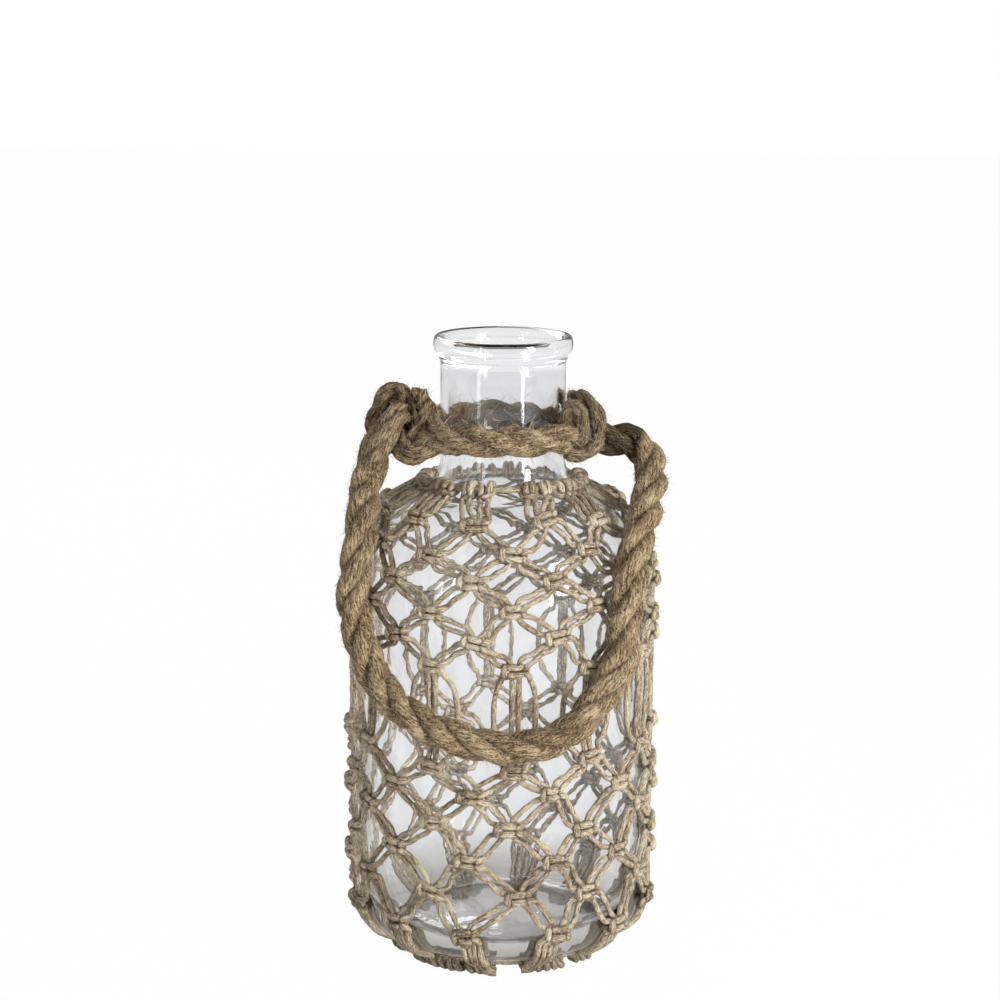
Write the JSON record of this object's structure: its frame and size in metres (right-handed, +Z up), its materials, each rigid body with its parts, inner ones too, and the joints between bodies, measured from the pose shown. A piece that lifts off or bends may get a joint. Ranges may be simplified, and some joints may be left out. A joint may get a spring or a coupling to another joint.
{
  "type": "bottle vase",
  "caption": "Clear glass bottle vase in a knotted jute net, with a rope collar round the neck and a rope bail handle that swings and turns with it.",
  "frame": {"origin": "centre of the base, on the surface that the vase stands on", "axes": "+Z up along the bottle's axis, -Y towards the viewer of the picture, +X to the viewer's right"},
  "size_m": [0.1558, 0.1714, 0.3036],
  "materials": {
    "clear_glass": "clear, smooth, faintly grey in the thick base and lip",
    "jute_yarn": "matt twisted straw-coloured yarn with loose fibres",
    "jute_rope": "matt three-strand laid rope with rough fibres"
  },
  "bodies": {
    "bottle": {"glass_bottle": "clear_glass", "neck_ring_cord": "jute_yarn", "base_ring_cord": "jute_yarn", "base_hitch_01": "jute_yarn", "base_hitch_02": "jute_yarn", "base_hitch_03": "jute_yarn", "base_hitch_04": "jute_yarn", "base_hitch_05": "jute_yarn", "base_hitch_06": "jute_yarn", "base_hitch_07": "jute_yarn", "base_hitch_08": "jute_yarn", "base_hitch_09": "jute_yarn", "base_hitch_10": "jute_yarn", "base_hitch_11": "jute_yarn", "base_hitch_12": "jute_yarn", "net_yarn_01": "jute_yarn", "net_yarn_02": "jute_yarn", "net_yarn_03": "jute_yarn", "net_yarn_04": "jute_yarn", "net_yarn_05": "jute_yarn", "net_yarn_06": "jute_yarn", "net_yarn_07": "jute_yarn", "net_yarn_08": "jute_yarn", "net_yarn_09": "jute_yarn", "net_yarn_10": "jute_yarn", "net_yarn_11": "jute_yarn", "net_yarn_12": "jute_yarn", "net_yarn_13": "jute_yarn", "net_yarn_14": "jute_yarn", "net_yarn_15": "jute_yarn", "net_yarn_16": "jute_yarn", "net_yarn_17": "jute_yarn", "net_yarn_18": "jute_yarn", "net_yarn_19": "jute_yarn", "net_yarn_20": "jute_yarn", "net_yarn_21": "jute_yarn", "net_yarn_22": "jute_yarn", "net_yarn_23": "jute_yarn", "net_yarn_24": "jute_yarn"},
    "collar": {"collar_rope": "jute_rope", "knot_left": "jute_rope", "knot_right": "jute_rope"},
    "handle": {"handle_rope": "jute_rope"}
  },
  "joints": [
    {"name": "collar_turn", "type": "hinge", "parent": "bottle", "child": "collar", "pos_m": [0, 0, 0.258], "axis": [0, 0, 1], "continuous": true},
    {"name": "handle_swing", "type": "hinge", "parent": "collar", "child": "handle", "pos_m": [0, 0, 0.25447], "axis": [-1, 0, 0], "range_deg": [0, 258]}
  ]
}
